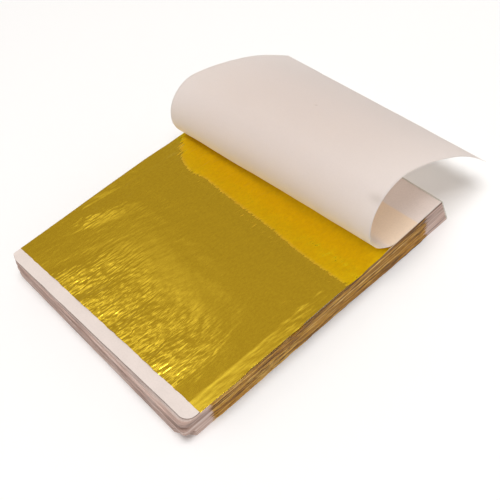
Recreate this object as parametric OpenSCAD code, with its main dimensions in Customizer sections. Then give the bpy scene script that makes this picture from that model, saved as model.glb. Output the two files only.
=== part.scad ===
// Booklet of gold leaf: thin tissue papers with a leaf of gold on each,
// held by a film of padding glue along one short end. The top paper is
// rolled back over the glued end and shows the leaf under it.
// X runs across the papers, +Y towards the glued end, +Z up. The origin is
// the middle of the lowest paper's underside, for the nominal paper size.

/* [Papers] */
// Width of the papers
paper_w = 80; // [60:1:120]
// Bare paper between the top leaf and the glued end, on the right side
margin_far = 10.2; // [4:0.1:30]
// Thickness of one tissue paper as it lies in the booklet
paper_t = 0.075; // [0.05:0.005:0.15]
// Number of gold leaves, each on its own paper
leaf_count = 100; // [24:1:120]

/* [Gold leaves] */
// Length of a gold leaf along the papers
leaf_l = 80; // [60:0.5:110]
// Thickness of a gold leaf with the air beside it
leaf_t = 0.02; // [0.01:0.005:0.04]
// Bare paper between the top leaf and the loose end, on the left side
margin_left = 4; // [1:0.1:6]
// Bare paper between the top leaf and the loose end, on the right side
margin_right = 6.2; // [1:0.1:8]
// How much nearer the glued end the leaves in the block lie than the top leaf
block_shift = 3.3; // [0:0.1:4]
// How far the leaves in the block lie from their mean place
leaf_scatter = 0.7; // [0:0.1:1]

/* [Loose end] */
// Number of papers that stand in or out together at the loose end
pack = 7; // [3:1:12]
// How far these packs of papers stand in or out
fan = 0.15; // [0:0.05:0.4]
// How far the top paper's left corner lies behind the lowest paper's
low_back = 0.4; // [0:0.1:1.5]
// How much further back than on the left the top papers lie on the right
top_skew = 1.7; // [0:0.1:3]
// Depth of the groove between the upper and the lower papers
groove = 1; // [0:0.1:2]
// Corner radius of the papers
corner_r = 1.2; // [0.4:0.2:4]
// Corner radius of the top papers on the right side
top_corner_r = 3; // [0.5:0.5:6]
// Corner radius of the lower papers on the right side
low_corner_r = 5; // [0.5:0.5:8]
// Extra corner radius of every other pack of the lower papers
notch = 2.5; // [0:0.5:3]

/* [Sides] */
// How far the top papers and leaves bulge in the middle of the right side
side_bow = 0.8; // [0:0.1:1.5]
// How far the lowest paper stands out past the top one at the glued end
spine_slant = 2.5; // [0:0.1:5]

/* [Glue binding] */
// Thickness of the dried glue film on the papers' ends
glue_t = 0.5; // [0.3:0.1:1.5]
// Room between the glue film and a page that turns
turn_gap = 0.2; // [0.15:0.05:0.4]

/* [Curled page] */
// Extra length of the curled page past the other papers
curl_extra = 0.6; // [0:0.1:3]
// Flat length from the glued end to the foot of the curl, on the left side
foot_left = 27.1; // [20:0.1:32]
// The same flat length on the right side
foot_right = 18.1; // [15:0.1:32]
// Radius of the bend at the foot, on the left side
foot_r_left = 3.9; // [3:0.1:12]
// Radius of the bend at the foot, on the right side
foot_r_right = 10.7; // [3:0.1:12]
// Degrees that the bend at the foot turns, on the left side
foot_turn_left = 51; // [40:1:95]
// Degrees that the bend at the foot turns, on the right side
foot_turn_right = 93; // [40:1:95]
// Radius of the bend over the crown, on the left side
crown_r_left = 10.3; // [8:0.1:14]
// Radius of the bend over the crown, on the right side
crown_r_right = 12.4; // [8:0.1:14]
// Degrees that the bend over the crown turns, on the left side
crown_turn_left = 140; // [100:1:142]
// Degrees that the bend over the crown turns, on the right side
crown_turn_right = 104; // [100:1:142]
// Radius of the long bend towards the free edge, on the left side
tail_r_left = 89.7; // [60:0.1:200]
// Radius of the long bend towards the free edge, on the right side
tail_r_right = 66.9; // [60:0.1:200]

/* [Hidden] */

paper_colour = "#e6dbd2";
shade_colour = "#d3c2b8";
gold_colour = "#c39a22";
brown_gold = "#9a7328";
glue_colour = "#c9ccc0";

sections = 10;
paper_l = margin_right + leaf_l + margin_far;
pitch = paper_t + leaf_t;
block_h = leaf_count * pitch;
full_h = block_h + paper_t;
// The two top papers turn and their leaves draw out, the rest stay in the block
block_papers = leaf_count - 1;
block_leaves = leaf_count - 2;
// Heights of the groove and of the lower papers, as shares of the block
groove_low = 0.56;
groove_high = 0.68;
low_share = 0.36;
// Steps round a paper's corner, along its loose edge and along its right side
corner_steps = 3;
bow_steps = 4;
side_steps = 6;
// Rows and columns of the curled page, and how much closer the rows lie at its foot
page_rows = 72;
page_cols = 6;
row_bias = 0.35;
left_sizes = [foot_left, foot_r_left, foot_turn_left, crown_r_left, crown_turn_left, tail_r_left];
right_sizes = [foot_right, foot_r_right, foot_turn_right, crown_r_right, crown_turn_right, tail_r_right];

// Scatter from -1 to 1 that looks unordered, the same for the same number
function scatter(k, turn) = sin(turn * (k + 1)) * cos(k * turn / 3 + 40);
function rise(k) = k * pitch / block_h;
function ease(v) = let(c = max(0, min(1, v))) c * c * (3 - 2 * c);
function mix(a, b, v) = a + (b - a) * v;
// Place of the papers' far ends at a height
function far_end(z) = paper_l + spine_slant * (1 - z / full_h);

// Place of paper k's loose end at x: in packs, with a groove between upper and
// lower papers, and the upper ones askew
function pack_of(k) = floor(k / pack);
function loose_end(k, x) = let(h = rise(k))
    fan * (1 + scatter(pack_of(k), 137.5)) + low_back * h
    + groove * (ease((h - groove_low) / 0.05) - ease((h - groove_high) / 0.05))
    + top_skew * ease((h - groove_high) / (1 - groove_high)) * x / paper_w;
function right_corner_r(k) = let(h = rise(k))
    h < low_share ? low_corner_r + notch * (pack_of(k) % 2)
    : mix(corner_r, top_corner_r, ease((h - low_share) / (1 - low_share)));

// Right side of sheet k at y, which bulges in the middle, more so higher up
function right_side(k, y) =
    paper_w + side_bow * rise(k) * rise(k) * sin(180 * y / paper_l);

// Corner points round a centre, from one angle to the next
function arc_points(cx, cy, r, from, to) =
    [for (i = [0:corner_steps])
        let(a = mix(from, to, i / corner_steps)) [cx + r * cos(a), cy + r * sin(a)]];

// Points up the right side of sheet k between two places
function side_points(k, from, to) =
    [for (i = [0:side_steps]) let(y = mix(from, to, i / side_steps)) [right_side(k, y), y]];

// Outline of paper k, with its loose corners rounded
function paper_outline(k, gap = 0) =
    let(r1 = corner_r, r2 = right_corner_r(k), edge = far_end((k + 1) * pitch) - gap,
        low = loose_end(k, paper_w) + r2)
    concat(
        [[paper_w, edge], [0, edge]],
        arc_points(r1, loose_end(k, 0) + r1, r1, 180, 270),
        [for (i = [1:bow_steps - 1])
            let(x = mix(r1, paper_w - r2, i / bow_steps)) [x, loose_end(k, x)]],
        arc_points(right_side(k, low) - r2, low, r2, 270, 360),
        [for (i = [1:side_steps]) side_points(k, low, paper_l - 1)[i]]
    );

// Outline of leaf k, whose loose end is a little askew
function leaf_outline(k, tidy = false) =
    let(s = tidy ? 0 : leaf_scatter, shift = tidy ? 0 : block_shift,
        left = margin_left + shift + s * scatter(k, 101),
        right = margin_right + shift + s * scatter(k, 67))
    concat([[0, left + leaf_l], [0, left]], side_points(k, right, right + leaf_l));

module sheet(outline, z, t) {
    translate([-paper_w / 2, -paper_l / 2, z])
        linear_extrude(t) polygon(outline);
}

module paper(k, gap = 0) {
    sheet(paper_outline(k, gap), k * pitch, paper_t);
}

module leaf(k, tidy = false) {
    sheet(leaf_outline(k, tidy), k * pitch + paper_t, leaf_t);
}

// First paper or leaf of a section, when a number of them is shared out evenly
function first_of(section, total) = floor((section - 1) * total / sections);

module papers(section) {
    color(section % 2 == 0 ? paper_colour : shade_colour)
        for (k = [first_of(section, block_papers):first_of(section + 1, block_papers) - 1])
            paper(k);
}

module leaves(section) {
    color(brown_gold)
        for (k = [first_of(section, block_leaves):first_of(section + 1, block_leaves) - 1])
            leaf(k);
}

module second_page() {
    color(paper_colour) paper(leaf_count - 1, turn_gap);
}

module second_leaf() {
    color(gold_colour) leaf(leaf_count - 2, true);
}

module open_leaf() {
    color(gold_colour) leaf(leaf_count - 1, true);
}

// Film of glue, slanted as the papers' ends are, from the table to the top page
module glue_binding() {
    low = far_end(0);
    high = far_end(full_h);
    color(glue_colour)
        translate([-paper_w / 2, -paper_l / 2, 0])
            rotate([90, 0, 90])
                linear_extrude(paper_w)
                    polygon([[low, 0], [low + glue_t, 0], [high + glue_t, full_h], [high, full_h]]);
}

// The curled page's cross-section: flat, then three bends in line with each other.
// A heading of 0 runs along -Y, 90 runs up and 180 runs back along +Y.
function along(p, h, r, a) =
    [p[0] - r * (sin(h + a) - sin(h)), p[1] + r * (cos(h) - cos(h + a))];

// Place and heading, as [y, z, heading], of the page's outer side at a distance s
// from its glued end, for one side's sizes [flat, radius, turn, radius, turn, radius]
function page_at(q, s) =
    let(l1 = q[1] * q[2] * PI / 180, l2 = q[3] * q[4] * PI / 180,
        p1 = [far_end(full_h) - q[0], block_h],
        p2 = along(p1, 0, q[1], q[2]),
        p3 = along(p2, q[2], q[3], q[4]),
        bend = s <= q[0] + l1 ? 1 : (s <= q[0] + l1 + l2 ? 2 : 3),
        start = bend == 1 ? p1 : (bend == 2 ? p2 : p3),
        h0 = bend == 1 ? 0 : (bend == 2 ? q[2] : q[2] + q[4]),
        r = q[2 * bend - 1],
        gone = s - q[0] - (bend > 1 ? l1 : 0) - (bend > 2 ? l2 : 0),
        a = gone / r * 180 / PI,
        p = along(start, h0, r, a))
    s <= q[0] ? [far_end(full_h) - s, block_h, 0] : [p[0], p[1], h0 + a];

// Distances from the glued end at which the page has a row, closer in the bends
function row_at(i) =
    let(first = min(foot_left, foot_right), u = (i - 1) / (page_rows - 1))
    i == 0 ? turn_gap : first + (paper_l + curl_extra - first) * mix(u, u * u, row_bias);

module curled_page() {
    n = page_rows + 1;
    m = page_cols + 1;
    left = [for (i = [0:page_rows]) page_at(left_sizes, row_at(i))];
    right = [for (i = [0:page_rows]) page_at(right_sizes, row_at(i))];
    // Straight lines join the two sides, and the inner side is a paper's thickness in
    outer = [for (i = [0:page_rows]) for (j = [0:page_cols])
        let(c = mix(left[i], right[i], j / page_cols))
        [paper_w * j / page_cols, c[0], c[1]]];
    inner = [for (i = [0:page_rows]) for (j = [0:page_cols])
        let(c = mix(left[i], right[i], j / page_cols))
        [paper_w * j / page_cols, c[0] + paper_t * sin(c[2]), c[1] + paper_t * cos(c[2])]];
    far = n * m;
    cells = [for (i = [0:n - 2]) for (j = [0:page_cols - 1]) i * m + j];
    faces = concat(
        [for (c = cells) [c, c + 1, c + m]],
        [for (c = cells) [c + 1, c + m + 1, c + m]],
        [for (c = cells) [far + c, far + c + m, far + c + 1]],
        [for (c = cells) [far + c + 1, far + c + m, far + c + m + 1]],
        [for (i = [0:n - 2]) for (e = [0, 1])
            let(a = i * m, b = a + m) e == 0 ? [a, b, far + a] : [far + a, b, far + b]],
        [for (i = [0:n - 2]) for (e = [0, 1])
            let(a = i * m + page_cols, b = a + m) e == 0 ? [a, far + a, b] : [far + a, far + b, b]],
        [for (j = [0:page_cols - 1]) for (e = [0, 1])
            e == 0 ? [j, far + j, j + 1] : [far + j, far + j + 1, j + 1]],
        [for (j = [0:page_cols - 1]) for (e = [0, 1])
            let(a = (n - 1) * m + j) e == 0 ? [a, a + 1, far + a] : [far + a, a + 1, far + a + 1]]
    );
    color(paper_colour)
        translate([-paper_w / 2, -paper_l / 2, 0])
            polyhedron(concat(outer, inner), faces);
}

glue_binding();
curled_page();
open_leaf();
second_page();
second_leaf();
papers(1);  // papers_1
papers(2);  // papers_2
papers(3);  // papers_3
papers(4);  // papers_4
papers(5);  // papers_5
papers(6);  // papers_6
papers(7);  // papers_7
papers(8);  // papers_8
papers(9);  // papers_9
papers(10);  // papers_10
leaves(1);  // leaves_1
leaves(2);  // leaves_2
leaves(3);  // leaves_3
leaves(4);  // leaves_4
leaves(5);  // leaves_5
leaves(6);  // leaves_6
leaves(7);  // leaves_7
leaves(8);  // leaves_8
leaves(9);  // leaves_9
leaves(10);  // leaves_10
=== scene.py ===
"""Looks of the gold leaf booklet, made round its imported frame.

The booklet is a block of thin tissue papers with a leaf of gold on each, held
by a film of dried glue along one short end. Its top paper is rolled back over
the glued end. Lengths are in metres, in the frame's own axes: X across the
papers, +Y towards the glued end and +Z up through the papers.
"""

import math

import bpy
import numpy as np
from bpy.props import FloatProperty, FloatVectorProperty, IntProperty, PointerProperty
from mathutils import Matrix, Vector


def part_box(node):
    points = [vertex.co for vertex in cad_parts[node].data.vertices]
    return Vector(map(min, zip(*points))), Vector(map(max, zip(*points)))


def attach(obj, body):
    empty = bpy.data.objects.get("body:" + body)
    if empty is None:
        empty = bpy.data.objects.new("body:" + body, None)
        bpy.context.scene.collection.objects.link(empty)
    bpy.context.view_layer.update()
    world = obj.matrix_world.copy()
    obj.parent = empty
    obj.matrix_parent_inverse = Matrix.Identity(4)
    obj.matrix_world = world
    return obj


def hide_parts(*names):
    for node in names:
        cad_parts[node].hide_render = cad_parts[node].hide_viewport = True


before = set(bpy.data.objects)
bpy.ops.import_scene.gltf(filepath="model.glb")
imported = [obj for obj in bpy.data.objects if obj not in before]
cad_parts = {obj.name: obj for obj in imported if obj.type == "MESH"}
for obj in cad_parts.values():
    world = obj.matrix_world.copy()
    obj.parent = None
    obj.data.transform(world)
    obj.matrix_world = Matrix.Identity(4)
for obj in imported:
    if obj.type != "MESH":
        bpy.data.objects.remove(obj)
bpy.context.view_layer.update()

bl_info = {
    "name": "Gold Leaf Booklet",
    "version": (1, 0, 0),
    "blender": (4, 5, 0),
    "location": "3D View > Sidebar > Booklet",
    "description": "Makes the papers, gold leaves and glue film of a gold leaf booklet on its frame",
    "category": "Object",
}

MM = 0.001


def linear(code):
    """An sRGB hex colour as the linear colour with alpha that a shader takes."""
    srgb = np.array([int(code[i : i + 2], 16) for i in (1, 3, 5)]) / 255
    value = np.where(srgb <= 0.04045, srgb / 12.92, ((srgb + 0.055) / 1.055) ** 2.4)
    return (*value.tolist(), 1.0)


# ---------------------------------------------------------------- settings

GLUE_LOW, GLUE_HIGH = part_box("glue_binding")


def length(name, text, default):
    return FloatProperty(name=name, description=text, default=default, unit="LENGTH", precision=5)


def angle(name, text, degrees):
    return FloatProperty(name=name, description=text, default=math.radians(degrees), subtype="ANGLE")


def colour(name, text, code):
    return FloatVectorProperty(
        name=name, description=text, default=linear(code), size=4, min=0, max=1, subtype="COLOR"
    )


class BookletSizes(bpy.types.PropertyGroup):
    """Sizes of the booklet's sheets, the same as the solids'."""

    paper_width: length("Paper width", "Width of the papers", GLUE_HIGH.x - GLUE_LOW.x)
    paper_length: length("Paper length", "Length of the papers at the top", 96.4 * MM)
    pitch: length("Pitch", "Height of one paper with its leaf", 0.095 * MM)
    paper_thickness: length("Paper thickness", "Thickness of one paper", 0.075 * MM)
    leaf_thickness: length("Leaf thickness", "Thickness of one gold leaf", 0.02 * MM)
    leaf_length: length("Leaf length", "Length of a gold leaf", 80 * MM)
    leaf_count: IntProperty(name="Leaves", description="Number of gold leaves", default=100, min=2)
    margin_left: length("Left margin", "Bare paper before the top leaf, on the left", 4.0 * MM)
    margin_right: length("Right margin", "Bare paper before the top leaf, on the right", 6.2 * MM)
    block_shift: length("Block shift", "How much nearer the glue the block's leaves lie", 3.3 * MM)
    leaf_scatter: length("Leaf scatter", "How far the block's leaves lie from their mean place", 0.7 * MM)
    pack: IntProperty(name="Pack", description="Papers that stand in or out together", default=7, min=1)
    fan: length("Fan", "How far the packs of papers stand in or out", 0.15 * MM)
    low_back: length("Set back", "How far the top paper's left corner lies behind the lowest's", 0.4 * MM)
    top_skew: length("Skew", "How much further back the top papers lie on the right", 1.7 * MM)
    groove: length("Groove", "Depth of the groove in the loose end", 1.0 * MM)
    corner_radius: length("Corner radius", "Corner radius of the papers", 1.2 * MM)
    top_corner_radius: length("Top corner radius", "Corner radius of the top papers on the right", 3.0 * MM)
    low_corner_cut: length("Low corner cut", "Slant across the lower papers' right corner", 4.6 * MM)
    notch: length("Notch", "Depth of the slots in the lower papers' slant", 3.0 * MM)
    side_bow: length("Side bow", "Bulge of the top papers in the middle of the right side", 0.8 * MM)
    side_tuck: length("Side tuck", "How far the lowest papers stand in on the right", 0.35 * MM)
    corner_cut: length("Corner cut", "Length of the slant across the top papers' left corner", 2.6 * MM)
    spine_slant: length("Spine slant", "How far the lowest paper stands out at the glue", 2.5 * MM)
    glue_thickness: length("Glue thickness", "Thickness of the glue film", 0.5 * MM)
    turn_gap: length("Turn gap", "Room between the glue and a page that turns", 0.2 * MM)
    edge_overhang: length("Leaf overhang", "How far the leaves stand out past the papers' sides", 0.22 * MM)
    crease_inset: length("Crease inset", "From the papers' right side to the top leaf's crease", 4.1 * MM)
    crease_depth: length("Crease depth", "How far the leaf steps down at the crease", 0.045 * MM)


class BookletColours(bpy.types.PropertyGroup):
    """Colours of the booklet's finishes."""

    tissue: colour("Tissue", "Tissue paper lying open to the light", "#e9dcd5")
    # Painted shade: the cut edges are darker than the tissue, for the shade in the gaps between the sheets
    shaded_tissue_edge: colour("Tissue edge", "Cut edges of many papers together", "#d8baad")
    # The colour of a painted glow, where the gold's light shows through the tissue
    painted_gold_glow_tint: colour("Tissue over gold", "Tissue with a leaf of gold showing through", "#f4d8b4")
    gold: colour("Gold", "Face of a gold leaf", "#fbd33f")
    gold_edge: colour("Gold edge", "Torn, crushed edges of many leaves together", "#b07a22")
    gold_deep: colour("Gold edge, deep", "The same edges where dust and shade lie", "#64400e")
    glue: colour("Glue", "Dried padding glue", "#e2dcd2")
    floor: colour("Floor", "Pale table top", "#ffffff")


class BookletStage(bpy.types.PropertyGroup):
    """Camera, floor and light."""

    lens: FloatProperty(name="Lens", description="Focal length in millimetres", default=61.79, min=1)
    azimuth: angle("Azimuth", "Camera's turn about the booklet", 57.42)
    elevation: angle("Elevation", "Camera's height above the horizon", 49.96)
    roll: angle("Roll", "Camera's roll", -12.45)
    distance: length("Distance", "From the camera to the point it looks at", 251.45 * MM)
    target_x: length("Target X", "Point on the table that the camera looks at", 5.18 * MM)
    target_y: length("Target Y", "Point on the table that the camera looks at", 4.78 * MM)
    sky: FloatProperty(
        name="Sky", description="Strength of the studio's walls and ceiling", default=1.0, min=0, max=4
    )
    key: FloatProperty(
        name="Key light", description="Power of the soft front light", default=4.8, min=0, unit="POWER"
    )


def sizes():
    return bpy.context.scene.booklet_sizes


def colours():
    return bpy.context.scene.booklet_colours


# ---------------------------------------------------------------- numbers


def ease(v):
    """0 below 0, 1 above 1, and a smooth S between them."""
    c = np.clip(v, 0, 1)
    return c * c * (3 - 2 * c)


def step(v, start, length):
    """ease() of v in metres, from a start over a length that are in millimetres."""
    return ease((v - start * MM) / (length * MM))


def scatter(k, turn):
    """From -1 to 1 for sheet k: the sine of its turn times the cosine of a third of it."""
    return np.sin(np.radians(turn * (k + 1))) * np.cos(np.radians(k * turn / 3 + 40))


def swell(x, y, across, along, seed, count=14, lean=0.0):
    """Smooth uneven surface from about -1 to 1: a sum of plane waves whose
    lengths lie round across and along, turned by up to lean radians."""
    rng = np.random.default_rng(seed)
    total = np.zeros(np.broadcast(x, y).shape)
    for _ in range(count):
        turn = lean + rng.normal(0, 0.25)
        kx = rng.normal(0, 1) * 2 * math.pi / across
        ky = rng.normal(0, 1) * 2 * math.pi / along
        phase = rng.uniform(0, 2 * math.pi)
        c, s = math.cos(turn), math.sin(turn)
        total = total + np.sin(kx * (c * x - s * y) + ky * (s * x + c * y) + phase)
    return total / math.sqrt(count / 2) / 2


def rise(k):
    """Height of sheet k as a share of the block."""
    return k / sizes().leaf_count


def far_end(z):
    """Y of the papers' glued ends at a height z, which slant towards +Y going down."""
    s = sizes()
    full = s.leaf_count * s.pitch + s.paper_thickness
    return s.paper_length + s.spine_slant * (1 - z / full)


# Heights in the block as shares of it: the groove and how soon it ends, where the upper
# right corner starts to grow rounder, where the slots end, and where the lower slant
# starts to fade and how soon it ends
GROOVE_LOW, GROOVE_HIGH, GROOVE_FADE = 0.56, 0.68, 0.05
ROUNDER_FROM = 0.36
SLOT_TOP, CUT_TOP, CUT_FADE = 0.24, 0.3, 0.1
# Rise of the slants across the upper left and the lower right corner, per length across
LEFT_SLOPE, RIGHT_SLOPE = 0.38, 0.73
# The slots' distance from the right side, and half their width
SLOT_INSET, SLOT_HALF = 2.1 * MM, 1.0 * MM


def loose_end(k, x):
    """Y of paper k's loose edge at a place x across it: its pack's own place, a step
    back going up, a groove between upper and lower papers, the skew of the upper
    ones, the rounded corners or the slants across the upper left and the lower right
    corner, whichever cut more, a slot in some of the lower papers' slant, and a slight
    wave along the cut."""
    s = sizes()
    h, width, packs = rise(k), s.paper_width, np.floor(k / s.pack)
    place = s.fan * (1 + scatter(packs, 137.5)) + s.low_back * h
    into = ease((h - GROOVE_LOW) / GROOVE_FADE) - ease((h - GROOVE_HIGH) / GROOVE_FADE)
    place = place + s.groove * into
    skew = s.top_skew * ease((h - GROOVE_HIGH) / (1 - GROOVE_HIGH)) * x / width
    rounder = ease((h - ROUNDER_FROM) / (1 - ROUNDER_FROM))
    right = s.corner_radius + (s.top_corner_radius - s.corner_radius) * rounder
    corner = 0
    for r, inset in ((s.corner_radius, x), (right, width - x)):
        reach = np.clip(1 - inset / r, 0, 1)
        corner = corner + r * (1 - np.sqrt(1 - reach * reach))
    slant = LEFT_SLOPE * np.clip(s.corner_cut * h - x, 0, None)
    low_cut = RIGHT_SLOPE * np.clip(x - width + s.low_corner_cut, 0, None)
    slot = s.notch * (packs % 2) * (np.abs(x - width + SLOT_INSET) < SLOT_HALF) * (h < SLOT_TOP)
    slant = slant + (low_cut + slot) * (1 - ease((h - CUT_TOP) / CUT_FADE))
    wave = 0.05 * MM * swell(x, k * 0.7 * MM, 22 * MM, 2.5 * MM, 5)
    return place + skew + np.maximum(corner, slant) + wave


def side_bulge(k, y):
    """How far sheet k's right side stands out at y: half a sine wave along it, growing
    with the square of the height, less a tuck of the lowest papers that ends between
    50 and 80 mm from the loose end."""
    s = sizes()
    bow = s.side_bow * rise(k) ** 2 * np.sin(np.pi * np.clip(y / s.paper_length, 0, 1))
    return bow - s.side_tuck * (1 - rise(k)) * (1 - step(y, 50, 30))


# How far the loose right and left corner droop, and the slope right of the crease
RIGHT_DROOP, LEFT_DROOP, BORDER_SLOPE = 0.45 * MM, 0.15 * MM, 0.045
# Share of the block's height from which the sheets lie unevenly
UNEVEN_FROM = 0.45


def lie(x, y, h):
    """How the sheets at height h of the block lie below their even place: the loose
    corners droop by an exponential of the distance from them, the right border steps
    down by a smooth step at the open leaf's wavy crease and slopes off beside it, up to
    the rolled page, and all of it fades down through the block."""
    s = sizes()
    width = s.paper_width
    near = np.exp(-np.clip(y, 0, None) / (7 * MM))
    right = np.exp(-np.clip(width - x, 0, None) / (6 * MM))
    left = np.exp(-np.clip(x, 0, None) / (5 * MM))
    droop = near * (RIGHT_DROOP * right + LEFT_DROOP * left)
    open_part = 1 - step(y, 50, 13)
    crease = width - s.crease_inset + 0.15 * MM * np.sin(y / (11 * MM)) + 0.07 * MM * np.sin(y / (3.7 * MM))
    beside = BORDER_SLOPE * np.clip(x - crease - 0.6 * MM, 0, None)
    border = s.crease_depth * step(x - crease, 0, 0.9) + beside
    return -(border * open_part + droop) * ease((h - UNEVEN_FROM) / (1 - UNEVEN_FROM))


# ---------------------------------------------------------------- meshes


def spread(count, ends):
    """From 0 to 1 in count steps, closer together at the ends by the share ends."""
    u = np.linspace(0, 1, count)
    return (1 - ends) * u + ends * (1 - np.cos(np.pi * u)) / 2


# How far inside a sheet's rim its first row lies, as a share of the sheet
RIM = 0.0002


def with_rim(u):
    """Adds a row just inside each end, so that the face's shading doesn't bend round its rim."""
    return np.concatenate([u[:1], [RIM], u[1:-1], [1 - RIM], u[-1:]])


def sheet_solids(first, second):
    """Joins two grids of points [sheet, row, column] round their rims into closed
    thin sheets. The first grid's faces look along column cross row."""
    sheets, rows, columns = first.shape[:3]
    points = np.stack([first, second], 1).reshape(-1, 3)
    a = (np.arange(rows - 1)[:, None] * columns + np.arange(columns - 1)).ravel()
    face = np.stack([a, a + 1, a + columns + 1, a + columns], 1)
    back = face[:, ::-1] + rows * columns
    near = np.arange(columns)
    right = np.arange(rows) * columns + columns - 1
    far = (rows - 1) * columns + np.arange(columns)[::-1]
    left = np.arange(rows)[::-1] * columns
    loop = np.concatenate([near[:-1], right[:-1], far[:-1], left[:-1]])
    after = np.roll(loop, -1)
    rim = np.stack([loop + rows * columns, after + rows * columns, after, loop], 1)
    one = np.concatenate([face, back, rim])
    smooth = np.concatenate([np.ones(len(face) * 2, bool), np.zeros(len(rim), bool)])
    start = np.arange(sheets)[:, None, None] * (2 * rows * columns)
    return points, (one[None] + start).reshape(-1, 4), np.tile(smooth, sheets)


def piece(name, points, faces, smooth, finish, body, replaced, slot, layers=None):
    """Puts points in metres and four-cornered faces into a mesh that rides on a body and
    replaces a CAD node. Each layer has a value for every point of the first grid and
    then of the second."""
    mesh = bpy.data.meshes.new(name)
    mesh.from_pydata(points, [], faces)
    mesh.polygons.foreach_set("use_smooth", smooth)
    for layer, values in (layers or {}).items():
        attribute = mesh.attributes.new(layer, "FLOAT", "POINT")
        attribute.data.foreach_set("value", np.ravel(values).astype(np.float32))
    mesh.update()
    mesh.materials.append(finish)
    obj = bpy.data.objects.new(name, mesh)
    bpy.context.scene.collection.objects.link(obj)
    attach(obj, body)
    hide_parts(replaced)


def in_frame(x, y, z):
    """Points from the papers' own X from the left side and Y from the loose end."""
    s = sizes()
    return np.stack(np.broadcast_arrays(x - s.paper_width / 2, y - s.paper_length / 2, z), -1)


def paper_grids(k, rows, columns, gap=0.0):
    """Upper and lower side of papers k, an array of numbers. Columns run across,
    closer at the sides, and rows run from the loose edge to the glued end, closer
    at the loose edge. Each point is at its paper's height plus lie()."""
    s = sizes()
    k = np.asarray(k, float).reshape(-1, 1, 1)
    x = (spread(columns, 0.92) * s.paper_width).reshape(1, 1, -1)
    v = (np.linspace(0, 1, rows) ** 1.8).reshape(1, -1, 1)
    near = loose_end(k, x)
    y = near + (far_end((k + 1) * s.pitch) - gap - near) * v
    low = k * s.pitch + lie(x, y, rise(k))
    thick = s.paper_thickness
    x = x + side_bulge(k, y) * ease(x / s.paper_width)
    return in_frame(x, y, low + thick), in_frame(x, y, low)


# ---------------------------------------------------------------- materials


def fill(tree, made, values, links):
    """Gives a node's inputs their values and their links from other sockets."""
    for key, value in values.items():
        made.inputs[key].default_value = value
    for key, socket in links.items():
        tree.links.new(socket, made.inputs[key])


def node(tree, kind, values=None, links=None, stops=(), **settings):
    """Adds a node with its settings, its inputs' values, its links from other sockets and,
    on a ramp, its stops of (place, colour)."""
    made = tree.nodes.new(kind)
    for key, value in settings.items():
        setattr(made, key, value)
    fill(tree, made, values or {}, links or {})
    for _ in stops[2:]:
        made.color_ramp.elements.new(0.5)
    for i, (place, value) in enumerate(stops):
        element = made.color_ramp.elements[i]
        element.position, element.color = place, value
    return made


def kept(maker):
    """The material of its maker's name. On its first use the maker gets its tree and its
    one Principled shader to fill."""
    made = bpy.data.materials.get(maker.__name__)
    if not made:
        made = bpy.data.materials.new(maker.__name__)
        made.use_nodes = True
        made.node_tree.nodes.clear()
        shader = node(made.node_tree, "ShaderNodeBsdfPrincipled")
        node(made.node_tree, "ShaderNodeOutputMaterial", links={"Surface": shader.outputs["BSDF"]})
        maker(made.node_tree, shader)
    return made


def object_place(tree):
    """X, Y and Z of the Object coordinates, which are the frame's own."""
    place = node(tree, "ShaderNodeTexCoord").outputs["Object"]
    return node(tree, "ShaderNodeSeparateXYZ", links={"Vector": place}).outputs


def grain(tree, size, turn=0.0, detail=4.0, rough=0.55):
    """Noise on Object coordinates, with size as the real length of its grain in X, Y and Z."""
    place = node(tree, "ShaderNodeTexCoord").outputs["Object"]
    values = {"Rotation": (0, 0, turn), "Scale": size}
    mapped = node(tree, "ShaderNodeMapping", values, {"Vector": place}, vector_type="TEXTURE")
    values = {"Scale": 1.0, "Detail": detail, "Roughness": rough}
    return node(tree, "ShaderNodeTexNoise", values, {"Vector": mapped.outputs["Vector"]}).outputs["Fac"]


def window(tree, parts, sides, shape="SMOOTHSTEP"):
    """Product of steps of a shape, each from 0 at one place on an axis to 1 at another."""
    inside = None
    for axis, begins, whole in sides:
        values = {"From Min": begins, "From Max": whole}
        part = node(tree, "ShaderNodeMapRange", values, {"Value": parts[axis]}, interpolation_type=shape)
        if inside is None:
            inside = part.outputs["Result"]
        else:
            links = {0: inside, 1: part.outputs["Result"]}
            inside = node(tree, "ShaderNodeMath", links=links, operation="MULTIPLY").outputs["Value"]
    return inside


def blend_in(tree, share, shader, other):
    """Puts a mix of two shaders on the surface, with share as the second's."""
    mixed = node(tree, "ShaderNodeMixShader", links={0: share, 1: shader.outputs["BSDF"], 2: other})
    finish = next(n for n in tree.nodes if n.type == "OUTPUT_MATERIAL")
    tree.links.new(mixed.outputs["Shader"], finish.inputs["Surface"])


# A brown speck on the rolled page, by its distance from the page's left side and, along
# the page, from its glued end
SPECK_WINDOW = (
    ("across", 37.8 * MM, 38.2 * MM),
    ("across", 38.9 * MM, 38.5 * MM),
    ("along", 67.2 * MM, 67.6 * MM),
    ("along", 68.3 * MM, 67.9 * MM),
)


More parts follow.
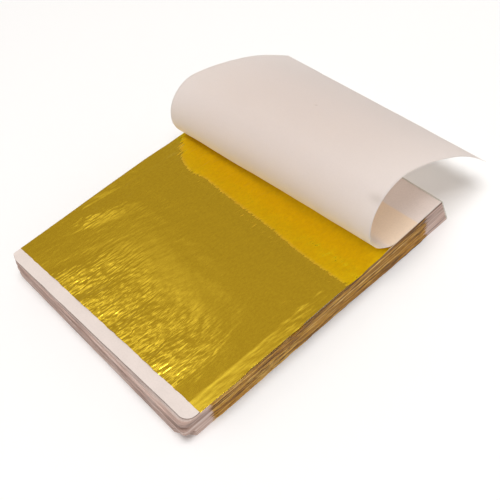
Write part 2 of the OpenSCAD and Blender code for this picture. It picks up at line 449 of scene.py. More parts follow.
def calendered_tissue(tree, shader):
    """Glassine-like tissue, calendered: smooth, matt, with faint clouds of fibre 6 mm
    wide, specks of fibre 0.5 mm wide and fine wrinkles. One layer tints it with a
    painted glow of the gold under it, and one greys it, for a smudge on the rolled page
    and for painted shade along the second page's sides under the leaf. The layer loose
    lets light through where it stands free and paints that paper lighter, and the layer
    lit lets more, creamier light through at the foot of the curl, a painted glow there.
    The layers across and along are a place on the page, for its speck."""
    c = colours()
    layers = {}
    for key in ("over_gold", "loose", "lit", "stain", "across", "along"):
        layers[key] = node(tree, "ShaderNodeAttribute", attribute_name=key).outputs["Fac"]
    clouds = grain(tree, (6 * MM, 6 * MM, 6 * MM), detail=3)
    stops = [(0.35, [v * 0.955 for v in c.tissue[:3]] + [1]), (0.65, tuple(c.tissue))]
    base = node(tree, "ShaderNodeValToRGB", links={"Fac": clouds}, stops=stops).outputs["Color"]
    # Marks: the speck, the smudge, and painted shade along the second page's sides under the leaf
    links = {0: window(tree, layers, SPECK_WINDOW), 2: layers["stain"]}
    marks_and_shade = node(tree, "ShaderNodeMath", {1: 0.4}, links, operation="MULTIPLY_ADD").outputs["Value"]
    for amount, tint in (
        # A painted glow of the gold under the paper
        (layers["over_gold"], tuple(c.painted_gold_glow_tint)),
        # Painted light: where it stands free, the paper is painted lighter than the same tissue on the block
        (layers["loose"], linear("#f2edef")),
        # The speck, the smudge and the painted shade of the second page's sides
        (marks_and_shade, linear("#54463a")),
    ):
        links = {"Factor": amount, "A": base}
        base = node(tree, "ShaderNodeMix", {"B": tint}, links, data_type="RGBA").outputs["Result"]
    fine = grain(tree, (0.5 * MM, 0.5 * MM, 0.5 * MM), detail=1)
    stops = [(0.35, (0.965, 0.965, 0.965, 1)), (0.6, (1, 1, 1, 1))]
    tone = node(tree, "ShaderNodeValToRGB", links={"Fac": fine}, stops=stops).outputs["Color"]
    links = {"A": base, "B": tone}
    base = node(tree, "ShaderNodeMix", {"Factor": 1.0}, links, data_type="RGBA", blend_type="MULTIPLY")
    fibres = grain(tree, (0.5 * MM, 0.7 * MM, 0.7 * MM), detail=5)
    wrinkles = grain(tree, (9 * MM, 3 * MM, 5 * MM), detail=2)
    links = {0: fibres, 1: wrinkles, 2: wrinkles}
    height = node(tree, "ShaderNodeMath", links=links, operation="MULTIPLY_ADD").outputs["Value"]
    bump = node(tree, "ShaderNodeBump", {"Strength": 0.25, "Distance": 0.05 * MM}, {"Height": height})
    links = {"Base Color": base.outputs["Result"], "Normal": bump.outputs["Normal"]}
    fill(tree, shader, {"Roughness": 0.62, "Specular IOR Level": 0.35}, links)
    # Free paper passes 0.6 of its light, and 0.38 more, creamier, at the foot of the curl: a painted glow
    # there
    share = node(tree, "ShaderNodeMath", {1: 0.6}, {0: layers["loose"]}, operation="MULTIPLY")
    links = {0: layers["lit"], 2: share.outputs["Value"]}
    share = node(tree, "ShaderNodeMath", {1: 0.38}, links, operation="MULTIPLY_ADD").outputs["Value"]
    values = {"A": linear("#fffaf4"), "B": linear("#fff6dc")}
    passed = node(tree, "ShaderNodeMix", values, {"Factor": layers["lit"]}, data_type="RGBA")
    links = {"Color": passed.outputs["Result"]}
    through = node(tree, "ShaderNodeBsdfTranslucent", links=links).outputs["BSDF"]
    blend_in(tree, share, shader, through)


# Painted reflection: what the foil keeps of its red, green and blue before and under
# the rolled page, for a deeper yellow of the page's reflection there
PAINTED_REFLECTION_TINT = (1, 1.06, 0.22, 1)


def gold_foil(tree, shader):
    """Imitation gold leaf, beaten metal under an uneven yellow lacquer, lying loose on
    tissue: a mirror with streaky wrinkles 0.75 mm wide and 3.6 mm long and a crinkle 2 by
    4 mm, strongest where the layer ripple is high. Where its layer for the rolled page is
    high, before and under that page, a painted reflection of the page deepens its yellow."""
    gold = colours().gold[:3]
    lacquer = grain(tree, (0.6 * MM, 1 * MM, 1 * MM), detail=3, rough=0.6)
    thin, thick = ([min(v * much, 1) for v in gold] + [1] for much in (0.955, 1.075))
    stops = [(0.35, thin), (0.65, thick)]
    base = node(tree, "ShaderNodeValToRGB", links={"Fac": lacquer}, stops=stops).outputs["Color"]
    # A painted reflection of the rolled page, which deepens the yellow before and under it
    covered = node(tree, "ShaderNodeAttribute", attribute_name="covered").outputs["Fac"]
    values, links = {"B": PAINTED_REFLECTION_TINT}, {"Factor": covered, "A": base}
    base = node(tree, "ShaderNodeMix", values, links, data_type="RGBA", blend_type="MULTIPLY")
    streaks = grain(tree, (0.75 * MM, 3.6 * MM, 2 * MM), turn=math.radians(-3), detail=0.8, rough=0.5)
    crinkle = grain(tree, (2.1 * MM, 3.8 * MM, 2 * MM), detail=1.2, rough=0.5)
    ripple = node(tree, "ShaderNodeAttribute", attribute_name="ripple").outputs["Fac"]
    links = {"Height": streaks, "Strength": ripple}
    first = node(tree, "ShaderNodeBump", {"Distance": 0.175 * MM}, links).outputs["Normal"]
    links = {"Height": crinkle, "Strength": ripple, "Normal": first}
    second = node(tree, "ShaderNodeBump", {"Distance": 0.18 * MM}, links).outputs["Normal"]
    clouds = grain(tree, (14 * MM, 9 * MM, 9 * MM), detail=3)
    values = {"From Min": 0.3, "From Max": 0.7, "To Min": 0.09, "To Max": 0.13}
    rough = node(tree, "ShaderNodeMapRange", values, {"Value": clouds}).outputs["Result"]
    links = {"Base Color": base.outputs["Result"], "Roughness": rough, "Normal": second}
    fill(tree, shader, {"Metallic": 1.0}, links)


# Painted shade on the sheets' edges, as the share of the light left by height in
# centimetres: less in the groove, and least at the top, where the upper sheets lie further back
PAINTED_EDGE_SHADE = (
    (0.0, (1, 1, 1, 1)),
    (0.5, (0.93, 0.93, 0.93, 1)),
    (0.58, (0.7, 0.66, 0.64, 1)),
    (0.64, (0.92, 0.92, 0.92, 1)),
    (0.83, (1, 1, 1, 1)),
    (0.885, (0.42, 0.35, 0.3, 1)),
    (0.96, (0.34, 0.27, 0.21, 1)),
)


def edge_colours(tree, *kinds):
    """Colours of many sheets' edges together, one for each list of stops, in level
    streaks 0.6 mm high and 16 mm long under PAINTED_EDGE_SHADE. Returns the streaks too."""
    streaks = grain(tree, (16 * MM, 16 * MM, 0.6 * MM), detail=2.5, rough=0.6)
    values, links = {"From Max": 10 * MM}, {"Value": object_place(tree)["Z"]}
    height = node(tree, "ShaderNodeMapRange", values, links).outputs["Result"]
    # Painted shade on the edges by their height
    lines = node(tree, "ShaderNodeValToRGB", links={"Fac": height}, stops=PAINTED_EDGE_SHADE).outputs["Color"]
    found = []
    for stops in kinds:
        base = node(tree, "ShaderNodeValToRGB", links={"Fac": streaks}, stops=stops).outputs["Color"]
        links = {"A": base, "B": lines}
        both = node(tree, "ShaderNodeMix", {"Factor": 1.0}, links, data_type="RGBA", blend_type="MULTIPLY")
        found.append(both.outputs["Result"])
    return found, streaks


def gilt_stops():
    """Crushed gold edges, from dust and shade to the brightest rubs."""
    c = colours()
    bright = [(0.58, linear("#cc9a3a")), (0.7, linear("#f2cc78"))]
    return [(0.38, tuple(c.gold_deep)), (0.5, tuple(c.gold_edge)), *bright]


# Where painted glints lie on the lower leaves' edges, a third of the way along the sides
PAINTED_GLINT_WINDOW = (("Y", -30 * MM, -22 * MM), ("Y", -4 * MM, -14 * MM), ("Z", 5.2 * MM, 3.5 * MM))


def painted_glints(tree, base):
    """The base colour with painted glints: bright level flecks 4 mm long, a third of the way along the
    sides.
    """
    glinting = window(tree, object_place(tree), PAINTED_GLINT_WINDOW)
    flecks = grain(tree, (4 * MM, 4 * MM, 0.5 * MM), detail=2)
    values = {"From Min": 0.46, "From Max": 0.6, "To Max": 0.6}
    amount = node(tree, "ShaderNodeMapRange", values, {"Value": flecks}).outputs["Result"]
    shown = node(tree, "ShaderNodeMath", links={0: glinting, 1: amount}, operation="MULTIPLY").outputs["Value"]
    links = {"Factor": shown, "A": base}
    return node(tree, "ShaderNodeMix", {"B": linear("#efc566")}, links, data_type="RGBA").outputs["Result"]


def torn_gold_edges(tree, shader):
    """Many leaves' torn edges crushed over the papers' sides: brown gold in level
    streaks, with a dull broken shine whose flecks are 1.6 mm long."""
    (base,), streaks = edge_colours(tree, gilt_stops())
    flecks = grain(tree, (1 * MM, 1.6 * MM, 0.3 * MM), detail=2)
    values = {"From Min": 0.5, "From Max": 0.7, "To Min": 0.2, "To Max": 0.9}
    shine = node(tree, "ShaderNodeMapRange", values, {"Value": flecks}).outputs["Result"]
    bump = node(tree, "ShaderNodeBump", {"Strength": 0.6, "Distance": 0.1 * MM}, {"Height": streaks})
    # The base colour with painted glints
    links = {"Base Color": painted_glints(tree, base), "Metallic": shine, "Normal": bump.outputs["Normal"]}
    fill(tree, shader, {"Roughness": 0.42}, links)


# The upper face of the block's top paper, which shows when the page over it is turned,
# by its normal and its height
TOP_FACE_WINDOW = (("normal", 0.6, 0.9), ("height", 7.8 * MM, 8.3 * MM))


def calendered_tissue_block(tree, shader):
    """The block's papers, whose cut edges lie together in pale level streaks. Along the
    leaves the edges are gilt with crushed foil, which ends in teeth 0.3 mm high and up to
    6 mm long."""
    c, s = colours(), sizes()
    # The edges' colours, darker than the tissue: painted shade of the gaps between the sheets
    stops = [(0.33, linear("#a8928a")), (0.5, tuple(c.shaded_tissue_edge)), (0.68, linear("#ecdbd3"))]
    (paper, gilt), streaks = edge_colours(tree, stops, gilt_stops())
    place = object_place(tree)
    teeth = grain(tree, (30 * MM, 30 * MM, 0.3 * MM), detail=2)
    links = {0: teeth, 2: place["Y"]}
    ragged = node(tree, "ShaderNodeMath", {1: 6 * MM}, links, operation="MULTIPLY_ADD").outputs["Value"]
    # Half a tooth is added to the leaves' place, because the noise is 0.5 on average
    first = s.margin_right + s.block_shift - s.paper_length / 2 + 3 * MM
    last, soft = first + s.leaf_length, 0.1 * MM
    ends = (("ragged", first - soft, first + soft), ("ragged", last + soft, last - soft))
    along_leaf = window(tree, {"ragged": ragged}, ends, "LINEAR")
    # Along the leaves, the gilt with painted glints
    links = {"Factor": along_leaf, "A": paper, "B": painted_glints(tree, gilt)}
    base = node(tree, "ShaderNodeMix", links=links, data_type="RGBA").outputs["Result"]
    normal = node(tree, "ShaderNodeTexCoord").outputs["Normal"]
    upward = node(tree, "ShaderNodeSeparateXYZ", links={"Vector": normal}).outputs["Z"]
    face = window(tree, {"normal": upward, "height": place["Z"]}, TOP_FACE_WINDOW)
    links = {"Factor": face, "A": base}
    base = node(tree, "ShaderNodeMix", {"B": tuple(c.tissue)}, links, data_type="RGBA").outputs["Result"]
    bump = node(tree, "ShaderNodeBump", {"Strength": 0.4, "Distance": 0.1 * MM}, {"Height": streaks})
    links = {"Base Color": base, "Normal": bump.outputs["Normal"]}
    fill(tree, shader, {"Roughness": 0.7, "Specular IOR Level": 0.3}, links)


def dried_padding_glue(tree, shader):
    """Padding glue, a brushed and dried vinyl film: pale, waxy, a little clear, with
    the papers' ends showing through as fine level lines."""
    lines = grain(tree, (9 * MM, 9 * MM, 0.3 * MM), detail=3)
    stops = [(0.35, linear("#b3b3a6")), (0.6, tuple(colours().glue)), (0.8, linear("#d8d6cb"))]
    base = node(tree, "ShaderNodeValToRGB", links={"Fac": lines}, stops=stops).outputs["Color"]
    bump = node(tree, "ShaderNodeBump", {"Strength": 0.5, "Distance": 0.12 * MM}, {"Height": lines})
    depth = {"Subsurface Weight": 0.15, "Subsurface Radius": (0.4 * MM, 0.35 * MM, 0.25 * MM)}
    links = {"Base Color": base, "Normal": bump.outputs["Normal"]}
    fill(tree, shader, {"Roughness": 0.34, **depth}, links)


# How far from the booklet the floor starts to be an even white, and is it wholly
FLOOR_NEAR, FLOOR_FAR = 0.25, 0.6


def pale_table(tree, shader):
    """A plain pale table top. The camera and mirrors see it as pure white, far from the
    booklet as an even white, and it passes on four fifths of its light."""
    white = tuple(colours().floor)
    path = node(tree, "ShaderNodeLightPath").outputs
    links = {0: path["Is Camera Ray"], 1: path["Is Glossy Ray"]}
    seen = node(tree, "ShaderNodeMath", links=links, operation="MAXIMUM").outputs["Value"]
    values = {"A": linear("#e7e7e7"), "B": white}
    base = node(tree, "ShaderNodeMix", values, {"Factor": seen}, data_type="RGBA").outputs["Result"]
    fill(tree, shader, {"Roughness": 1.0, "Specular IOR Level": 0.0}, {"Base Color": base})
    place = node(tree, "ShaderNodeTexCoord").outputs["Object"]
    away = node(tree, "ShaderNodeVectorMath", links={0: place}, operation="LENGTH").outputs["Value"]
    values = {"From Min": FLOOR_NEAR, "From Max": FLOOR_FAR}
    far = node(tree, "ShaderNodeMapRange", values, {"Value": away}).outputs["Result"]
    far = node(tree, "ShaderNodeMath", links={0: far, 1: seen}, operation="MULTIPLY").outputs["Value"]
    glow = node(tree, "ShaderNodeEmission", {"Color": white, "Strength": 1.0}).outputs["Emission"]
    blend_in(tree, far, shader, glow)


# ---------------------------------------------------------------- the papers and leaves


def sections(total):
    """Shares sheets out in order over ten nodes: each node's number and its sheets."""
    first = [math.floor(i * total / 10) for i in range(11)]
    return [(i + 1, np.arange(first[i], first[i + 1])) for i in range(10)]


# How far a lip turns down for its reach, and a leaf's least height over the table
LIP_DROP, LEAST_HEIGHT = 1.6, 0.004 * MM


def leaf_grids(k, rows):
    """Upper and lower side of leaves k. Across, each leaf is flat and ends in a lip on
    both sides that stands out past the papers by an uneven amount and turns down over
    them. Along, it runs from a torn edge near the loose end to one near the glue."""
    s = sizes()
    k = np.asarray(k, float).reshape(-1, 1, 1)
    width = s.paper_width
    v = np.linspace(0, 1, rows).reshape(1, -1, 1)
    # Columns, where 0 and 1 are the papers' sides and a lip is two columns wide
    u = np.array([-2.0, -1, 0, 0.25, 0.5, 0.75, 1, 2, 3]).reshape(1, 1, -1)
    inside = np.clip(u, 0, 1)
    left = s.margin_left + s.block_shift + s.leaf_scatter * scatter(k, 101)
    right = s.margin_right + s.block_shift + s.leaf_scatter * scatter(k, 67)
    y0 = left + (right - left) * inside
    ragged = 0.35 * MM * swell(u * width, k * 1.1 * MM, 5 * MM, 2 * MM, 21)
    y = y0 + s.leaf_length * v + ragged
    out = np.where(u < 0, -u, np.where(u > 1, u - 1, 0)) / 2
    # Each side has a far place of its own in the unevenness
    side = np.where(u < 0, 3.0, 7.0)
    uneven = 0.5 + 0.5 * swell(y, k * 0.9 * MM + side, 9 * MM, 1.6 * MM, 33)
    uneven = np.clip(uneven, 0, 1) * ease(v * 30) * ease((1 - v) * 30)
    reach = s.edge_overhang * uneven
    x = inside * width + np.where(u < 0, -1, 1) * out * reach + side_bulge(k, y) * inside
    drop = out * out * reach * LIP_DROP
    z = k * s.pitch + s.paper_thickness + lie(inside * width, y, rise(k)) - drop
    z = np.maximum(z, LEAST_HEIGHT)
    return in_frame(x, y, z + s.leaf_thickness), in_frame(x, y, z)


class BOOKLET_OT_block_papers(bpy.types.Operator):
    """Makes the papers that stay in the block, ten at a time"""

    bl_idname = "booklet.block_papers"
    bl_label = "Block Papers"

    def execute(self, context):
        edges = kept(calendered_tissue_block)
        for number, k in sections(sizes().leaf_count - 1):
            solids = sheet_solids(*paper_grids(k, 26, 48))
            piece(f"tissue_{number}", *solids, edges, "block", f"papers_{number}", "tissue_paper")
        return {"FINISHED"}


class BOOKLET_OT_block_leaves(bpy.types.Operator):
    """Makes the leaves between the block's papers, whose torn edges show at its sides"""

    bl_idname = "booklet.block_leaves"
    bl_label = "Block Leaves"

    def execute(self, context):
        torn = kept(torn_gold_edges)
        for number, k in sections(sizes().leaf_count - 2):
            solids = sheet_solids(*leaf_grids(k, 90))
            piece(f"foil_{number}", *solids, torn, "block", f"leaves_{number}", "gold_leaf")
        return {"FINISHED"}


# The open leaf's row of waves: how they lean, where one starts, their spacing and height,
# and the share of each that is its steep left side
WAVE_LEAN, WAVE_START, WAVE_SPACING = math.radians(8), 26 * MM, 14.5 * MM
WAVE_HEIGHT, WAVE_STEEP = 0.26 * MM, 0.22
# Slope of the foil's rise towards the fold, by distance from the left side in millimetres
DROP_LINE = (0, 12, 24, 40, 58, 80), (0.035, 0.055, 0.06, 0.065, 0.09, 0.09)
# The fold of the rolled page, as its distance from the loose end by that from the left
# side, both in millimetres
FOLD_LINE = (4, 8, 12, 16, 21, 30, 50, 64, 80), (63, 59.3, 57.6, 56.8, 58.2, 57.8, 57.6, 56.8, 57.2)
# How far the two top leaves stay clear of the papers under and over them
CLEAR = 0.003 * MM


def bell(v, width):
    """A bell curve, the exponential of minus the square of v by its width."""
    return np.exp(-((v / width) ** 2))


def foil_waves(x, y):
    """Height of the loose foil over its paper, how rippled it is, and how far it lies
    under the rolled page, where the page's reflection is painted. The height is a row of
    leaning waves that grow towards the loose edge, each up its steep left side by a smooth
    step and down by another; dents 7 mm wide; a rise that drops before the fold; a swelling
    near the left side; a shallow crease along that side and a raised rim beside it; and a
    ridge along the fold, steep on the side of the loose end."""
    across = x * math.cos(WAVE_LEAN) - y * math.sin(WAVE_LEAN)
    wander = 0.8 * MM * np.sin(y / (4 * MM) + x / (17 * MM))
    phase = np.mod((across + wander - WAVE_START) / WAVE_SPACING, 1)
    fall = (phase - WAVE_STEEP) / (1 - WAVE_STEEP)
    wave = np.where(phase < WAVE_STEEP, ease(phase / WAVE_STEEP), 1 - ease(fall))
    left = step(x - 0.4 * y, 11, 7)
    near = step(-y, -31, 24) * left * (1 - step(x, 69.5, 1.2))
    growth = near * step(-y, -26, 17) * (1 - step(x, 61, 9))
    height = WAVE_HEIGHT * growth * wave
    mid = step(y, 30, 16)
    dents = 1 + swell(x, y, 6 * MM, 10 * MM, 57, lean=0.7)
    height += 0.035 * MM * (0.3 + 0.7 * mid) * dents
    drop = np.interp(x / MM, *DROP_LINE) * 7.3 * MM
    height += drop * step(y, 6, 42) * (1 - step(y, 51, 11))
    turned = (x - 7.5 * MM) * 0.93 - (y - 30 * MM) * 0.36
    length_on = (x - 7.5 * MM) * 0.36 + (y - 30 * MM) * 0.93
    patch = np.exp(-((turned / (3.4 * MM)) ** 2) - (length_on / (9.5 * MM)) ** 4)
    height += 0.17 * MM * patch
    crease = (2.0 + 2.4 * ease((y / MM - 18) / 30)) * MM
    height -= 0.04 * MM * bell(x - crease, 0.5 * MM) * step(y, 14, 20)
    edge = step(y, 20, 12) * (1 - step(y, 50, 10))
    height += 0.12 * MM * ease(1 - x / (3.4 * MM)) * edge
    past = y / MM - np.interp(x / MM, *FOLD_LINE)
    ridge = 0.09 * MM * bell(past, np.where(past < 0, 0.8, 2.2))
    height += ridge * step(x, 5, 6)
    strip = step(x, 76.5, 1)
    ripple = 0.1 + 1.05 * near + 0.4 * patch + 0.05 * strip + 0.2 * mid
    ripple += 0.1 * bell(past, 1.2) + 0.9 * step(y, 58, 6)
    return np.clip(height, 0, None), np.clip(ripple, 0, 1.2), ease(past / 1.2)


def open_foil(k, rows, columns, lift):
    """Upper and lower side of a tidy leaf at its height from lie() plus a share lift of
    its waves, a hair clear of the papers under and over it, and its layers."""
    s = sizes()
    width = s.paper_width
    x = (with_rim(spread(columns, 0.6)) * width).reshape(1, 1, -1)
    v = with_rim(np.linspace(0, 1, rows)).reshape(1, -1, 1)
    y0 = s.margin_left + (s.margin_right - s.margin_left) * x / width
    ragged = 0.12 * MM * swell(x, 0 * x, 4 * MM, 9 * MM, 41)
    y = y0 + s.leaf_length * v + ragged * (1 - v)
    z = k * s.pitch + s.paper_thickness + CLEAR + lie(x, y, rise(k))
    # The foil is free up to where the rolled page holds it down
    free = step(9 * MM * x / width - y, -67.5, 6) * lift
    height, ripple, covered = foil_waves(x, y)
    z = z + free * height
    thick = s.leaf_thickness - 2 * CLEAR
    uneven = 0.6 + 0.4 * swell(y, 0 * y, 12 * MM, 9 * MM, 3)
    over = 0.3 * MM * ease((x - 0.985 * width) / (0.015 * width)) * uneven
    over = over * (1 - 1.5 * step(y, 68, 8))
    x = x + over + side_bulge(k, y) * ease(x / width)
    ripple, covered = ripple * (0.5 + 0.5 * lift), covered * lift
    layers = {"ripple": (ripple, ripple), "covered": (covered, covered)}
    return in_frame(x, y, z + thick), in_frame(x, y, z), layers


class BOOKLET_OT_top_leaves(bpy.types.Operator):
    """Makes the two top leaves, which draw out of the booklet"""

    bl_idname = "booklet.top_leaves"
    bl_label = "Top Leaves"

    def execute(self, context):
        gold = kept(gold_foil)
        count = sizes().leaf_count
        for name, k, rows, columns, lift in (
            ("open_leaf", count - 1, 215, 220, 1.0),
            ("second_leaf", count - 2, 120, 110, 0.0),
        ):
            top, low, layers = open_foil(k, rows, columns, lift)
            piece(f"{name}_foil", *sheet_solids(top, low), gold, name, name, "gold_leaf", layers)
        return {"FINISHED"}


class BOOKLET_OT_second_page(bpy.types.Operator):
    """Makes the paper under the open leaf"""

    bl_idname = "booklet.second_page"
    bl_label = "Second Page"

    def execute(self, context):
        paper = kept(calendered_tissue)
        s = sizes()
        top, low = paper_grids([s.leaf_count - 1], 90, 100, s.turn_gap)
        # Painted shade: grey rims along the leaf's sides, under its overhang, up to where the rolled page
        # covers them
        side = np.zeros(top.shape[:3])
        side[..., [0, -1]] = step(-s.paper_length / 2 - top[..., [0, -1], 1], -75, 12)
        side *= top[..., 1] > s.margin_right - s.paper_length / 2
        solids = sheet_solids(top, low)
        layers = {"stain": (side, side)}
        piece("second_tissue", *solids, paper, "second_page", "second_page", "tissue_paper", layers)
        return {"FINISHED"}


# ---------------------------------------------------------------- the curled page

# Flat length, then radius and turn of the foot, radius and turn of the crown, and
# radius of the tail, for the page's left and right side
CURL_LEFT = (27.1 * MM, 3.9 * MM, math.radians(51), 10.3 * MM, math.radians(140), 89.7 * MM)
CURL_RIGHT = (18.1 * MM, 10.7 * MM, math.radians(93), 12.4 * MM, math.radians(104), 66.9 * MM)
# How much longer it is than the papers under it
LONGER = 0.6 * MM


def along(start, heading, radius, turn):
    """Where an arc ends that starts at a point with a heading, where 0 runs along -Y
    and a quarter turn runs up: the integral of the heading's cosine and sine."""
    y = start[0] - radius * (np.sin(heading + turn) - math.sin(heading))
    z = start[1] + radius * (math.cos(heading) - np.cos(heading + turn))
    return y, z


def page_line(side, s):
    """Y, Z and heading of the page's outer side at distances s from its glued end:
    flat, then three arcs in line with each other."""
    flat, foot_r, foot_turn, crown_r, crown_turn, tail_r = side
    high = sizes().leaf_count * sizes().pitch
    end = far_end(high + sizes().paper_thickness)
    at = (end - flat, high)
    line = np.stack([end - s, np.full_like(s, high), np.zeros_like(s)])
    gone, turned = flat, 0.0
    # Nothing follows the tail, so its turn can be any
    for radius, turn in ((foot_r, foot_turn), (crown_r, crown_turn), (tail_r, 0.0)):
        bend = (s - gone) / radius
        line = np.where(s > gone, (*along(at, turned, radius, bend), turned + bend), line)
        at = along(at, turned, radius, turn)
        gone, turned = gone + radius * turn, turned + turn
    return line


class BOOKLET_OT_curled_page(bpy.types.Operator):
    """Makes the top page, flat at the glue and rolled back over it"""

    bl_idname = "booklet.curled_page"
    bl_label = "Curled Page"

    def execute(self, context):
        s = sizes()
        paper = kept(calendered_tissue)
        rows, columns = 330, 110
        down = s.turn_gap + (s.paper_length + LONGER - s.turn_gap) * np.linspace(0, 1, rows)
        u = spread(columns, 0.2)
        sides = zip(page_line(CURL_LEFT, down), page_line(CURL_RIGHT, down))
        y, z, heading = (a[:, None] + (b - a)[:, None] * u for a, b in sides)
        x = np.broadcast_to(u * s.paper_width, y.shape)
        down = np.broadcast_to(down[:, None], y.shape)
        flat_z = s.leaf_count * s.pitch
        t = s.paper_thickness
        loose = step(z - flat_z, 0.1, 2)
        wave = 0.10 * MM * loose * swell(x, down, 30 * MM, 40 * MM, 9)
        ny, nz = np.sin(heading), np.cos(heading)
        x = x + side_bulge(s.leaf_count, y) * (1 - loose) * x / s.paper_width
        outer = in_frame(x, y + wave * ny, z + wave * nz)
        inner = in_frame(x, y + (wave + t) * ny, z + (wave + t) * nz)
        # Where the page's flat part lies over the leaf, it gets a painted glow of the gold
        leaf_end = s.margin_left + (s.margin_right - s.margin_left) * x / s.paper_width + s.leaf_length
        flat = 1 - step(z - flat_z, 0.2, 6)
        over = flat * step(leaf_end - y, -0.3, 0.6)
        # A smudge beside the right side
        stain = 0.35 * bell(x - 78.4 * MM, 2.4 * MM) * bell(down - 46.1 * MM, 1.2 * MM)
        # A painted glow at the foot of the curl, by the page's heading where it stands free
        steep = np.degrees(heading)
        lit = ease((steep - 25) / 20) * (1 - ease((steep - 62) / 40)) * loose
        none = np.zeros(y.shape)
        layers = {
            "over_gold": (0.25 * over, 0.62 * over),
            "stain": (stain, none),
            "loose": (loose, loose),
            "lit": (lit, none),
            "across": (x, x),
            "along": (down, down),
        }
        solids = sheet_solids(outer[None], inner[None])
        piece("curled_tissue", *solids, paper, "curled_page", "curled_page", "tissue_paper", layers)
        return {"FINISHED"}


# ---------------------------------------------------------------- the glue

# The film's least thickness, and how far its lip reaches in over the papers' ends
THINNEST_GLUE, GLUE_LIP = 0.12 * MM, 0.12 * MM


class BOOKLET_OT_glue_film(bpy.types.Operator):
    """Makes the film of dried glue on the papers' ends"""

    bl_idname = "booklet.glue_film"
    bl_label = "Glue Film"

    def execute(self, context):
        s = sizes()
        glue = kept(dried_padding_glue)
        full = s.leaf_count * s.pitch + s.paper_thickness
        x = (np.linspace(0, 1, 200) * s.paper_width)[None, :]
        z = (np.linspace(0, 1, 60) * full)[:, None]
        edge = far_end(z)
        lines = 0.05 * MM * swell(x, z, 40 * MM, 1.1 * MM, 61) + 0.06 * MM * swell(x, z, 12 * MM, 5 * MM, 62)
        thin = 1 - 0.45 * step(z - full, -0.5, 0.5) - 0.3 * (1 - step(z, 0, 0.5))
        film = np.clip(s.glue_thickness * thin - 0.06 * MM + lines, THINNEST_GLUE, s.glue_thickness)
        outside = in_frame(x, edge + film, z)
        # At the top a lip of glue reaches in over the ends, beside the pages that turn
        lip = GLUE_LIP * step(z - full, -0.2, 0.05)
        inside = in_frame(x, edge + 0.002 * MM - lip, z)
        # Columns run along +X and rows along +Z, so the first grid looks along -Y
        solids = sheet_solids(inside[None], outside[None])
        piece("glue_skin", *solids, glue, "block", "glue_binding", "padding_glue")
        return {"FINISHED"}


# ---------------------------------------------------------------- the stage


# Parts of the studio by the direction in which they lie, each side as an axis and the
# places there where the part begins and is whole: walls that are tan, walls that are
# dimmer, and a lamp's white panel over the loose end, whose right edge is sharp
WARM_WINDOW = (("X", -0.2, -0.35), ("Y", -0.3, -0.1), ("Y", 0.8, 0.6), ("Z", 0.5, 0.6), ("Z", 0.93, 0.86))
DIM_WINDOW = (("Y", 0.1, -0.7), ("Z", 0.06, 0.2))
PANEL_SIDES = ("X", -0.518, -0.528), ("X", -0.65, -0.615), ("Y", 0.275, 0.09), ("Y", -0.3, -0.2)
PANEL_WINDOW = (*PANEL_SIDES, ("Z", 0.5, 0.6))
# Light of the walls and the ceiling by the sine of their height, which is a warm grey
# between two heights and else neutral, and the most light that the studio gives
LOW_WALLS = (0.0, 1.0), (0.2, 0.93), (0.42, 0.45), (0.55, 0.4), (0.7, 0.385), (0.77, 0.41)
WALLS = (*LOW_WALLS, (0.855, 0.4), (0.885, 0.5), (0.925, 0.8), (1.0, 1.1))
WARM_GREY, WARM_LOW, WARM_HIGH = (1, 0.92, 0.88), 0.4, 0.9
MOST_LIGHT = 1.2
# Half the floor's side and its level, a hair under the booklet
FLOOR_HALF, FLOOR_LEVEL = 3.0, -0.03 * MM
# The soft front light's place and its side
LAMP_PLACE, LAMP_SIDE = Vector((0.12, -0.06, 0.9)), 0.5


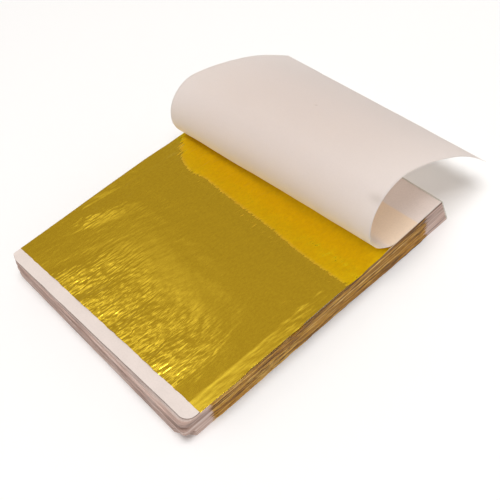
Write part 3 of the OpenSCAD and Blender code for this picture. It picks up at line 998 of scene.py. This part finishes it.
class BOOKLET_OT_stage(bpy.types.Operator):
    """Makes the camera, the pale floor and the soft studio light"""

    bl_idname = "booklet.stage"
    bl_label = "Stage"

    def execute(self, context):
        scene = context.scene
        stage = scene.booklet_stage
        az, el, roll = stage.azimuth, stage.elevation, stage.roll
        back = Vector((math.sin(az) * math.cos(el), -math.cos(az) * math.cos(el), math.sin(el)))
        side = Vector((math.cos(az), math.sin(az), 0))
        up = back.cross(side)
        right = side * math.cos(roll) + up * math.sin(roll)
        top = up * math.cos(roll) - side * math.sin(roll)
        lens = bpy.data.cameras.new("camera")
        lens.lens, lens.sensor_width = stage.lens, 36
        lens.clip_start, lens.clip_end = 0.01, 20
        camera = bpy.data.objects.new("camera", lens)
        place = Vector((stage.target_x, stage.target_y, 0)) + back * stage.distance
        turned = Matrix((right, top, back)).transposed().to_4x4()
        camera.matrix_world = Matrix.Translation(place) @ turned
        scene.collection.objects.link(camera)
        scene.camera = camera

        mesh = bpy.data.meshes.new("floor")
        corners = ((-1, -1), (1, -1), (1, 1), (-1, 1))
        points = [(x * FLOOR_HALF, y * FLOOR_HALF, FLOOR_LEVEL) for x, y in corners]
        mesh.from_pydata(points, [], [(0, 1, 2, 3)])
        mesh.materials.append(kept(pale_table))
        floor = bpy.data.objects.new("floor", mesh)
        scene.collection.objects.link(floor)

        world = bpy.data.worlds.new("studio")
        world.use_nodes = True
        tree = world.node_tree
        tree.nodes.clear()
        place = node(tree, "ShaderNodeTexCoord").outputs["Generated"]
        parts = node(tree, "ShaderNodeSeparateXYZ", links={"Vector": place}).outputs
        stops = []
        for height, light in WALLS:
            tint = WARM_GREY if WARM_LOW < height < WARM_HIGH else (1, 1, 1)
            stops.append((height, [light / MOST_LIGHT * v for v in tint] + [1]))
        sky = node(tree, "ShaderNodeValToRGB", links={"Fac": parts["Z"]}, stops=stops).outputs["Color"]
        for sides, tint, blend in (
            (WARM_WINDOW, (1.0, 0.96, 0.67, 1), "MULTIPLY"),
            (DIM_WINDOW, (0.68, 0.68, 0.68, 1), "MULTIPLY"),
            (PANEL_WINDOW, (1, 1, 1, 1), "MIX"),
        ):
            links = {"Factor": window(tree, parts, sides), "A": sky}
            mixed = node(tree, "ShaderNodeMix", {"B": tint}, links, data_type="RGBA", blend_type=blend)
            sky = mixed.outputs["Result"]
        shade = node(tree, "ShaderNodeBackground", {"Strength": MOST_LIGHT * stage.sky}, {"Color": sky})
        node(tree, "ShaderNodeOutputWorld", links={"Surface": shade.outputs["Background"]})
        scene.world = world

        light = bpy.data.lights.new("front_softbox", "AREA")
        light.shape, light.size, light.size_y = "RECTANGLE", LAMP_SIDE, LAMP_SIDE
        light.energy = stage.key
        lamp = bpy.data.objects.new("front_softbox", light)
        aim = LAMP_PLACE.to_track_quat("Z", "Y").to_matrix().to_4x4()
        lamp.matrix_world = Matrix.Translation(LAMP_PLACE) @ aim
        scene.collection.objects.link(lamp)

        scene.view_settings.view_transform = "Standard"
        return {"FINISHED"}


# ---------------------------------------------------------------- the add-on


class BOOKLET_PT_panel(bpy.types.Panel):
    """Lists the booklet's pieces and its stage in the sidebar"""

    bl_label = "Gold Leaf Booklet"
    bl_idname = "BOOKLET_PT_panel"
    bl_space_type = "VIEW_3D"
    bl_region_type = "UI"
    bl_category = "Booklet"

    def draw(self, context):
        for operator in PIECES:
            self.layout.operator(operator.bl_idname)
        for group in ("booklet_sizes", "booklet_colours", "booklet_stage"):
            holder = getattr(context.scene, group)
            box = self.layout.box()
            for name in holder.__annotations__:
                box.prop(holder, name)


PIECES = (
    BOOKLET_OT_stage,
    BOOKLET_OT_block_papers,
    BOOKLET_OT_block_leaves,
    BOOKLET_OT_second_page,
    BOOKLET_OT_top_leaves,
    BOOKLET_OT_curled_page,
    BOOKLET_OT_glue_film,
)
GROUPS = {"booklet_sizes": BookletSizes, "booklet_colours": BookletColours, "booklet_stage": BookletStage}


def register():
    for made in (*GROUPS.values(), *PIECES, BOOKLET_PT_panel):
        bpy.utils.register_class(made)
    for name, group in GROUPS.items():
        setattr(bpy.types.Scene, name, PointerProperty(type=group))


def unregister():
    for name in GROUPS:
        delattr(bpy.types.Scene, name)
    for made in (BOOKLET_PT_panel, *reversed(PIECES), *reversed(list(GROUPS.values()))):
        bpy.utils.unregister_class(made)


def main():
    register()
    for made in PIECES:
        group, name = made.bl_idname.split(".")
        if getattr(getattr(bpy.ops, group), name)() != {"FINISHED"}:
            raise RuntimeError(f"{made.bl_label} didn't finish")


if __name__ == "__main__":
    main()
